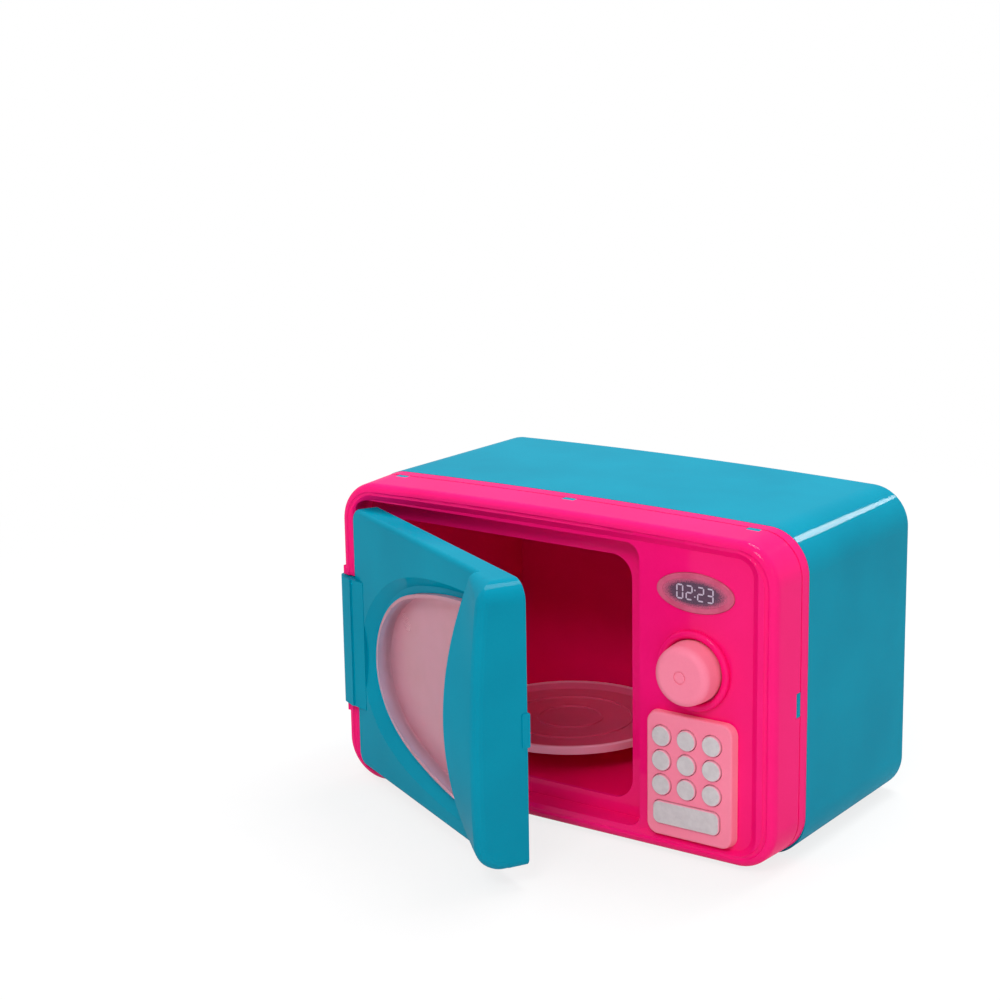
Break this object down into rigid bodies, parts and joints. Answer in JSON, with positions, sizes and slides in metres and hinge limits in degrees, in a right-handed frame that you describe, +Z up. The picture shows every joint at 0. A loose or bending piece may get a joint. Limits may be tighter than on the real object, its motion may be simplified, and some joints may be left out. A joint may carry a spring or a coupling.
{
  "type": "toy microwave oven",
  "caption": "Child's toy microwave oven with a hinged door and window, turning plate, knob, keypad, speaker and battery compartment.",
  "frame": {"origin": "middle of the flat underside of the case, on the surface the oven stands on", "axes": "+Z up, the door and control panel face -Y, +X towards the control panel side"},
  "size_m": [0.2617, 0.2342, 0.1664],
  "materials": {
    "teal_shell": "glossy moulded teal",
    "pink_fascia": "glossy moulded pink",
    "pink_liner": "glossy moulded pink",
    "clear_pane": "translucent pinkish plastic",
    "clear_plate": "translucent pink plastic",
    "pale_pink": "satin pale pink",
    "display_rim": "satin pale grey pink",
    "display_dark": "printed dark label",
    "key_cap": "pale grey",
    "grey_rubber": "matt",
    "board_green": "satin",
    "resin_black": "gloss",
    "speaker_steel": "plain",
    "speaker_paper": "matt",
    "screw_steel": "zinc plated",
    "contact_steel": "nickel plated",
    "cell_jacket": "printed jacket",
    "lead_red": "pvc",
    "lead_black": "pvc"
  },
  "bodies": {
    "oven": {"battery_cells": "cell_jacket", "battery_contacts": "contact_steel", "battery_cover": "teal_shell", "battery_cover_screw": "screw_steel", "battery_leads": "lead_red", "board_screws": "screw_steel", "case_shell": "teal_shell", "cavity_liner": "pink_liner", "circuit_board": "board_green", "display_label": "display_dark", "display_plate": "display_rim", "fascia": "pink_fascia", "key_mat": "grey_rubber", "keypad_plate": "pale_pink", "sound_chip": "resin_black", "speaker_cone": "speaker_paper", "speaker_frame": "speaker_steel", "speaker_leads": "lead_black", "speaker_screws": "screw_steel"},
    "door": {"door_shell": "teal_shell", "window_pane": "clear_pane"},
    "turntable": {"turntable_plate": "clear_plate"},
    "knob": {"knob": "pale_pink", "knob_washer": "screw_steel", "knob_screw": "screw_steel"},
    "key_1": {"key_1": "key_cap"},
    "key_2": {"key_2": "key_cap"},
    "key_3": {"key_3": "key_cap"},
    "key_4": {"key_4": "key_cap"},
    "key_5": {"key_5": "key_cap"},
    "key_6": {"key_6": "key_cap"},
    "key_7": {"key_7": "key_cap"},
    "key_8": {"key_8": "key_cap"},
    "key_9": {"key_9": "key_cap"},
    "key_bar": {"key_bar": "key_cap"}
  },
  "joints": [
    {"name": "door_hinge", "type": "hinge", "parent": "oven", "child": "door", "pos_m": [-0.126, -0.082, 0.07775], "axis": [0, 0, -1], "range_deg": [-27.2, 82]},
    {"name": "turntable_spin", "type": "hinge", "parent": "oven", "child": "turntable", "pos_m": [-0.033, -0.016, 0.03], "axis": [0, 0, 1], "continuous": true},
    {"name": "knob_turn", "type": "hinge", "parent": "oven", "child": "knob", "pos_m": [0.083, -0.089, 0.096], "axis": [0, -1, 0], "range_deg": [-150, 150]},
    {"name": "key_1_press", "type": "slide", "parent": "oven", "child": "key_1", "axis": [0, 1, 0], "range_m": [0, 0.0008], "stiffness_N_per_m": 400, "springref_m": -0.0008},
    {"name": "key_2_press", "type": "slide", "parent": "oven", "child": "key_2", "axis": [0, 1, 0], "range_m": [0, 0.0008], "stiffness_N_per_m": 400, "springref_m": -0.0008},
    {"name": "key_3_press", "type": "slide", "parent": "oven", "child": "key_3", "axis": [0, 1, 0], "range_m": [0, 0.0008], "stiffness_N_per_m": 400, "springref_m": -0.0008},
    {"name": "key_4_press", "type": "slide", "parent": "oven", "child": "key_4", "axis": [0, 1, 0], "range_m": [0, 0.0008], "stiffness_N_per_m": 400, "springref_m": -0.0008},
    {"name": "key_5_press", "type": "slide", "parent": "oven", "child": "key_5", "axis": [0, 1, 0], "range_m": [0, 0.0008], "stiffness_N_per_m": 400, "springref_m": -0.0008},
    {"name": "key_6_press", "type": "slide", "parent": "oven", "child": "key_6", "axis": [0, 1, 0], "range_m": [0, 0.0008], "stiffness_N_per_m": 400, "springref_m": -0.0008},
    {"name": "key_7_press", "type": "slide", "parent": "oven", "child": "key_7", "axis": [0, 1, 0], "range_m": [0, 0.0008], "stiffness_N_per_m": 400, "springref_m": -0.0008},
    {"name": "key_8_press", "type": "slide", "parent": "oven", "child": "key_8", "axis": [0, 1, 0], "range_m": [0, 0.0008], "stiffness_N_per_m": 400, "springref_m": -0.0008},
    {"name": "key_9_press", "type": "slide", "parent": "oven", "child": "key_9", "axis": [0, 1, 0], "range_m": [0, 0.0008], "stiffness_N_per_m": 400, "springref_m": -0.0008},
    {"name": "key_bar_press", "type": "slide", "parent": "oven", "child": "key_bar", "axis": [0, 1, 0], "range_m": [0, 0.0008], "stiffness_N_per_m": 400, "springref_m": -0.0008}
  ]
}
